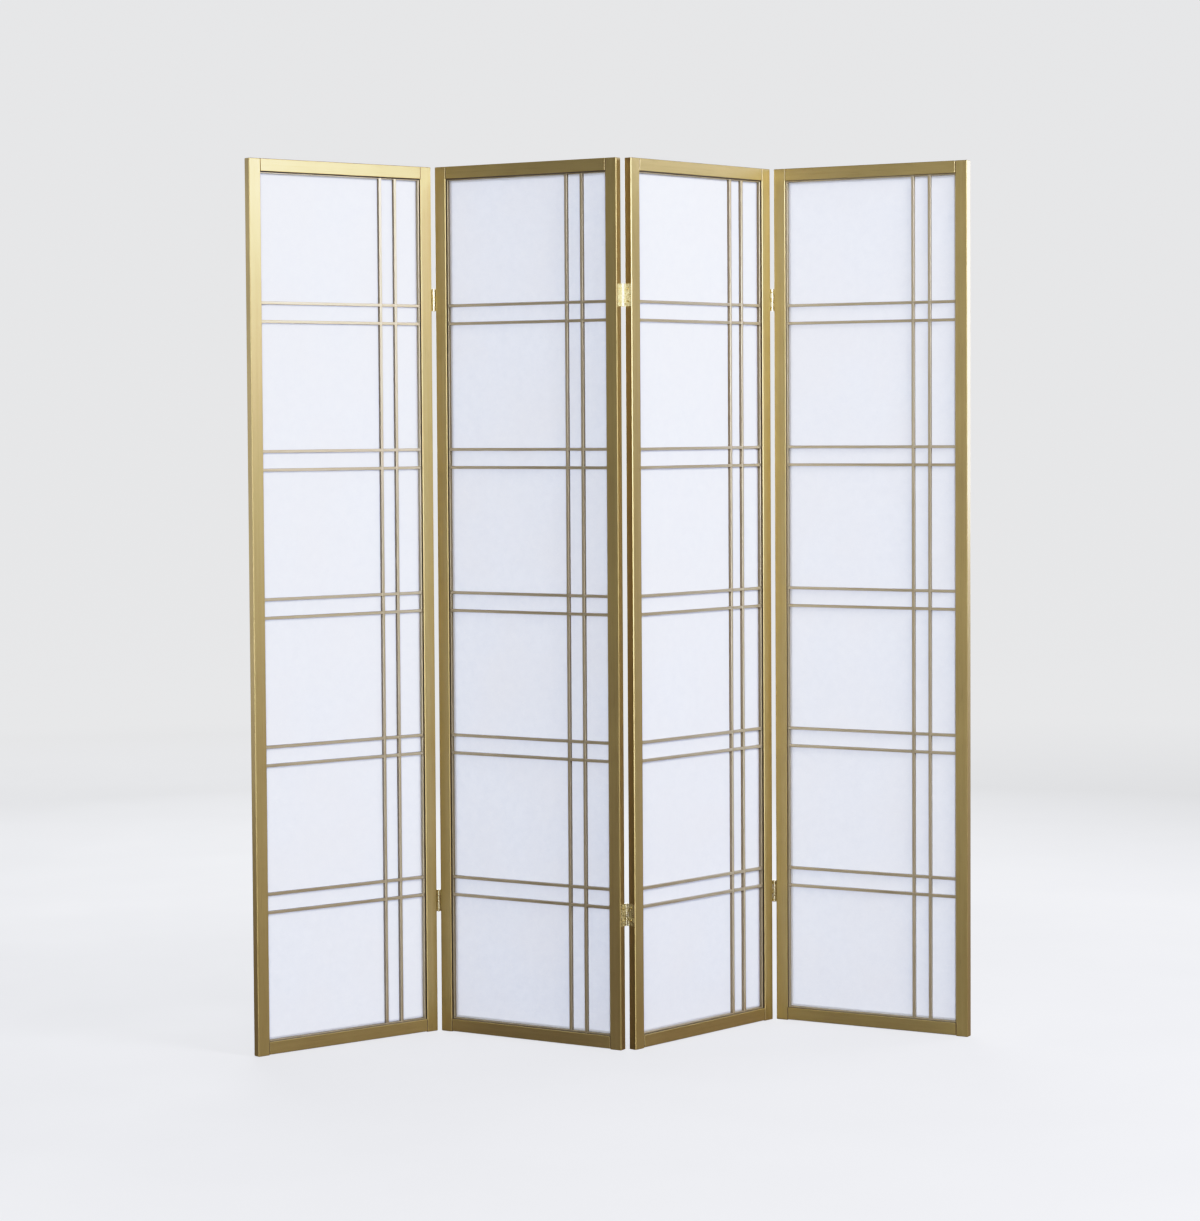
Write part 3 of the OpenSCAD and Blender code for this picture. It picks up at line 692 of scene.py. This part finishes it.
def screwShape():
    # countersunk screw on the z axis: cross recess that narrows downward, eased rim, coarse thread
    shape = bmesh.new()
    sides, top, shank, pitch = (screw[key] for key in ("sides", "headTop", "shankRadius", "threadPitch"))
    rim = ring(shape, screw["headRadius"] - screw["rimRound"], top, sides)
    rings = [
        rim,
        ring(shape, screw["headRadius"], top - screw["rimRound"] / 2, sides),
        ring(shape, shank, 0, sides),
    ]
    z = -pitch
    while z > screw["tip"] - screw["length"]:
        rings.append(ring(shape, shank * screw["threadRoot"], z + pitch * screw["threadFlank"], sides))
        rings.append(ring(shape, shank, z, sides))
        z -= pitch
    rings.append(ring(shape, shank * screw["tipStart"], screw["tip"] - screw["length"], sides))
    rings.append(ring(shape, screw["pointRadius"], -screw["length"], sides))
    for upper, lower in zip(rings, rings[1:]):
        skin(shape, lower, upper)
    shape.faces.new(rings[-1])
    half, reach = screw["slotHalf"], screw["slotReach"]
    cross = [
        (reach, -half), (reach, half), (half, half), (half, reach), (-half, reach), (-half, half),
        (-reach, half), (-reach, -half), (-half, -half), (-half, -reach), (half, -reach), (half, -half),
    ]
    mouth = [shape.verts.new((x, y, top)) for x, y in cross]
    narrowX, narrowY = screw["slotNarrowing"]
    recess = [shape.verts.new((x * narrowX, y * narrowY, top - screw["slotDepth"])) for x, y in cross]
    skin(shape, recess, mouth)
    shape.faces.new(recess)
    loops = []
    for group in (rim, mouth):
        loops += [shape.edges.get((group[k], group[(k + 1) % len(group)])) for k in range(len(group))]
    bmesh.ops.bridge_loops(shape, edges=loops)
    return shapeObject("screwShape", shape)


screwForm = screwShape()
for k, (name, place) in enumerate(plan.items()):
    rows = []
    for edge, face in place["hinges"].items():
        u = panel["width"] if edge == "right" else 0
        depth = screw["depth"] if face == "front" else panel["thick"] - screw["depth"]
        tilt = math.pi / 2 if edge == "right" else -math.pi / 2
        for level in screw["levels"]:
            start, end = (standing(name) @ Vector((u, depth, level + step)) for step in screw["fromEnd"])
            rows.append({
                "start": start, "end": end, "count": 2, "turn": (0, tilt, math.radians(place["turn"])),
                "spin": math.pi, "seed": screw["seedStep"] * k + len(rows), "shape": screwForm,
                "finish": platedFinish,
            })
    piece = rowsPiece(f"{name}_screws", rows)
    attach(piece, name)
    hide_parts(f"{name}_hinge_screws")
bpy.data.objects.remove(screwForm)
print("stage: screws made")

# pins that hold the beads from behind, in metres; how many to a long and a short bead, and how far the
# first one is from the opening's corner
beadPin = {
    "headRadius": 0.0008,
    "profile": (  # share of the head's radius, height: a low domed head, its neck and the foot
        (0.5, 0.00018), (0.9, 0.000108), (1, 0), (0.45, -0.0003), (0.4, -0.004),
    ),
    "sides": 12,
    "long": 12,
    "short": 3,
    "inset": 0.055,
    "seedStep": 7,
}


def beadPinShape():
    # panel pin on the z axis
    shape = bmesh.new()
    rings = [
        ring(shape, beadPin["headRadius"] * share, z, beadPin["sides"])
        for share, z in beadPin["profile"]
    ]
    shape.faces.new(rings[0])
    for upper, lower in zip(rings, rings[1:]):
        skin(shape, lower, upper)
    shape.faces.new(rings[-1])
    return shapeObject("beadPinShape", shape)


pinForm = beadPinShape()
middle, inset = panel["beadWidth"] / 2, beadPin["inset"]
runs = [
    ((openLeft + middle, openBottom + inset), (openLeft + middle, openTop - inset), beadPin["long"]),
    ((openRight - middle, openBottom + inset), (openRight - middle, openTop - inset), beadPin["long"]),
    ((openLeft + inset, openBottom + middle), (openRight - inset, openBottom + middle), beadPin["short"]),
    ((openLeft + inset, openTop - middle), (openRight - inset, openTop - middle), beadPin["short"]),
]
for k, (name, place) in enumerate(plan.items()):
    rows = []
    for first, last, count in runs:
        start, end = (standing(name) @ Vector((u, panel["beadBack"], z)) for u, z in (first, last))
        turn = (-math.pi / 2, 0, math.radians(place["turn"]))
        rows.append({
            "start": start, "end": end, "count": count, "turn": turn, "spin": math.pi,
            "seed": beadPin["seedStep"] * k + len(rows), "shape": pinForm, "finish": platedFinish,
        })
    piece = rowsPiece(f"{name}_bead_pins", rows)
    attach(piece, name)
bpy.data.objects.remove(pinForm)
print("stage: bead pins made")

# studio floor in metres: flat disc, then a curve up to a wall; mottle in millimetres
floor = {
    "disc": 5.4,
    "flat": 9.0,
    "rise": 6.0,
    "wall": 9.0,
    "sides": 96,
    "steps": 14,
    "near": "9A9A9E",
    "nearDull": "96969A",
    "far": "2C2C2E",
    "farFrom": (2.2, 4.5),
    "glow": "F7F8FA",
    "glowStrength": (0.60, 0.95),
    "glowFrom": (1.5, 7),
    "mottle": 333,
}


def rolledFloorPaint():
    # matt paint put on with a roller: plain and pale, very slightly mottled; it fades to an even glow far
    # away, so that no horizon shows
    material, tree = newMaterial("rolledFloorPaint")
    place = addNode(tree, "ShaderNodeTexCoord", out="Object")
    mottle = addNode(tree, "ShaderNodeTexNoise", {
        "Vector": place, "Scale": perMetre(floor["mottle"]), "Detail": 3})
    away = addNode(tree, "ShaderNodeVectorMath", (place,), out="Value", operation="LENGTH")
    tone = hexColour(floor["near"])
    for mask, colour in (
        (addNode(tree, "ShaderNodeMapRange", (mottle, 0.3, 0.7, 0, 1)), hexColour(floor["nearDull"])),
        (addNode(tree, "ShaderNodeMapRange", (away, *floor["farFrom"], 0, 1)), hexColour(floor["far"])),
    ):
        tone = addNode(tree, "ShaderNodeMix", {0: mask, 6: tone, 7: colour}, out=2, data_type="RGBA")
    surface = addNode(tree, "ShaderNodeBsdfPrincipled", {
        "Base Color": tone, "Specular IOR Level": 0.1, "Emission Color": hexColour(floor["glow"]),
        "Roughness": addNode(tree, "ShaderNodeMapRange", (mottle, 0.3, 0.7, 0.85, 0.95)),
        "Emission Strength": addNode(tree, "ShaderNodeMapRange", (
            away, *floor["glowFrom"], *floor["glowStrength"])),
    })
    addNode(tree, "ShaderNodeOutputMaterial", (surface,), out=None)
    return material


def studioFloor():
    shape = bmesh.new()
    profile = [(floor["disc"], 0), (floor["flat"], 0)]
    for k in range(1, floor["steps"] + 1):
        a = math.pi / 2 * k / floor["steps"]
        profile.append((floor["flat"] + floor["rise"] * math.sin(a), floor["rise"] * (1 - math.cos(a))))
    profile.append((floor["flat"] + floor["rise"], floor["rise"] + floor["wall"]))
    rings = [ring(shape, radius, z, floor["sides"]) for radius, z in profile]
    shape.faces.new(rings[0])
    for inner, outer in zip(rings, rings[1:]):
        skin(shape, outer, inner)
    for face in shape.faces:
        face.smooth = True
    mesh = bpy.data.meshes.new("studioFloor")
    shape.to_mesh(mesh)
    shape.free()
    mesh.materials.append(rolledFloorPaint())
    ground = bpy.data.objects.new("studioFloor", mesh)
    bpy.context.scene.collection.objects.link(ground)
    ground.visible_glossy = False  # the floor is a backdrop only: it sends no light back to the panels
    ground.visible_diffuse = False
    ground.visible_transmission = False
    ground.visible_shadow = False


studioFloor()

# light from all round, brighter to the right and behind, warm from below; the pairs are slopes of a
# direction, from -1 straight down to 1 straight up
sky = {
    "bottom": 0.09,
    "level": 0.37,
    "top": 0.40,
    "below": (-0.4, 0),
    "above": (0, 0.5),
    "left": 0.52,
    "right": 1.45,
    "front": 1.0,
    "back": 1.6,
    "low": "E0A456",
    "high": "F4F7FF",
    "lowToHigh": (-0.35, 0.05),
}
world = bpy.data.worlds.new("studioAir")
world.use_nodes = True
bpy.context.scene.world = world
air = world.node_tree
air.nodes.clear()
aside, ahead, upward = addNode(air, "ShaderNodeSeparateXYZ", (
    addNode(air, "ShaderNodeTexCoord", out="Generated"),
), out=None)
power = addNode(air, "ShaderNodeMath", (
    addNode(air, "ShaderNodeMapRange", (upward, *sky["below"], sky["bottom"], sky["level"])),
    addNode(air, "ShaderNodeMapRange", (upward, *sky["above"], 0, sky["top"] - sky["level"])),
), operation="ADD")
for strength in (
    addNode(air, "ShaderNodeMapRange", (aside, -1, 1, sky["left"], sky["right"])),
    addNode(air, "ShaderNodeMapRange", (ahead, -1, 1, sky["front"], sky["back"])),
):
    power = addNode(air, "ShaderNodeMath", (power, strength), operation="MULTIPLY")
tint = addNode(air, "ShaderNodeMix", {
    0: addNode(air, "ShaderNodeMapRange", (upward, *sky["lowToHigh"], 0, 1)),
    6: hexColour(sky["low"]), 7: hexColour(sky["high"]),
}, out=2, data_type="RGBA")
glow = addNode(air, "ShaderNodeBackground", (tint, power))
addNode(air, "ShaderNodeOutputWorld", (glow,), out=None)

# softboxes: place and size in metres, power in watts, all aimed a little above the divider's middle
lamps = {
    "frontSoftbox": {"at": (-0.5, -6.4, 1.9), "size": (3.0, 1.8), "watts": 290, "tone": "F2F7FF"},
    "rightSoftbox": {"at": (2.3, -2.4, 2.8), "size": (1.5, 1.5), "watts": 145, "tone": "EAEDFF"},
    "sideSoftbox": {"at": (3.9, 1.7, 2.0), "size": (1.8, 2.2), "watts": 82, "tone": "F2F4FF"},
    "fillSoftbox": {"at": (-1.8, -5.5, 1.0), "size": (1.8, 1.8), "watts": 120, "tone": "FAFBFF"},
    "cornerSoftbox": {"at": (-3.9, 1.9, 1.1), "size": (1.5, 2.2), "watts": 15, "tone": "FFFEFA"},
    "backSoftbox": {"at": (-0.3, 6.0, 2.2), "size": (4.0, 2.6), "watts": 340, "tone": "EAF1FF"},
}
aim = Vector((0, 0, 1.0))
for name, lamp in lamps.items():
    light = bpy.data.lights.new(name, "AREA")
    light.shape = "RECTANGLE"
    light.size, light.size_y = lamp["size"]
    light.energy = lamp["watts"]
    light.color = hexColour(lamp["tone"])[:3]
    holder = bpy.data.objects.new(name, light)
    holder.location = lamp["at"]
    holder.rotation_euler = (aim - holder.location).to_track_quat("-Z", "Y").to_euler()
    bpy.context.scene.collection.objects.link(holder)
print("stage: floor and light made")

# camera at the photograph's place: metres, degrees, lens and sensor in millimetres; how near and far it sees,
# in metres; curve points are (in, out)
eye = {
    "at": (-0.7111, -6.2954, 1.2584),
    "yaw": 6.282,
    "pitch": -2.557,
    "roll": 0.351,
    "lens": 91.69,
    "sensor": 36,
    "shiftY": -0.04,
    "sees": (0.05, 100),
    "whiteLevel": 1.8,
    "curve": ((0.045, 0.064), (0.1, 0.167), (0.278, 0.49), (0.556, 0.84)),
}
yaw, pitch, roll = (math.radians(eye[key]) for key in ("yaw", "pitch", "roll"))
forward = Vector((math.sin(yaw) * math.cos(pitch), math.cos(yaw) * math.cos(pitch), math.sin(pitch)))
right = Vector((math.cos(yaw), -math.sin(yaw), 0))
up = right.cross(forward)
right, up = math.cos(roll) * right - math.sin(roll) * up, math.cos(roll) * up + math.sin(roll) * right
camera = bpy.data.objects.new("camera", bpy.data.cameras.new("camera"))
camera.data.lens = eye["lens"]
camera.data.sensor_width = eye["sensor"]
camera.data.shift_y = eye["shiftY"]
camera.data.clip_start, camera.data.clip_end = eye["sees"]
camera.matrix_world = Matrix.Translation(eye["at"]) @ Matrix((right, up, -forward)).transposed().to_4x4()
bpy.context.scene.collection.objects.link(camera)
bpy.context.scene.camera = camera
view = bpy.context.scene.view_settings
view.view_transform = "Standard"
view.use_curve_mapping = True  # a soft shoulder, as a camera gives: bright gold pales, and doesn't clip
view.curve_mapping.white_level = (eye["whiteLevel"],) * 3
for x, y in eye["curve"]:
    view.curve_mapping.curves[3].points.new(x, y)
view.curve_mapping.update()
print("stage: camera set")
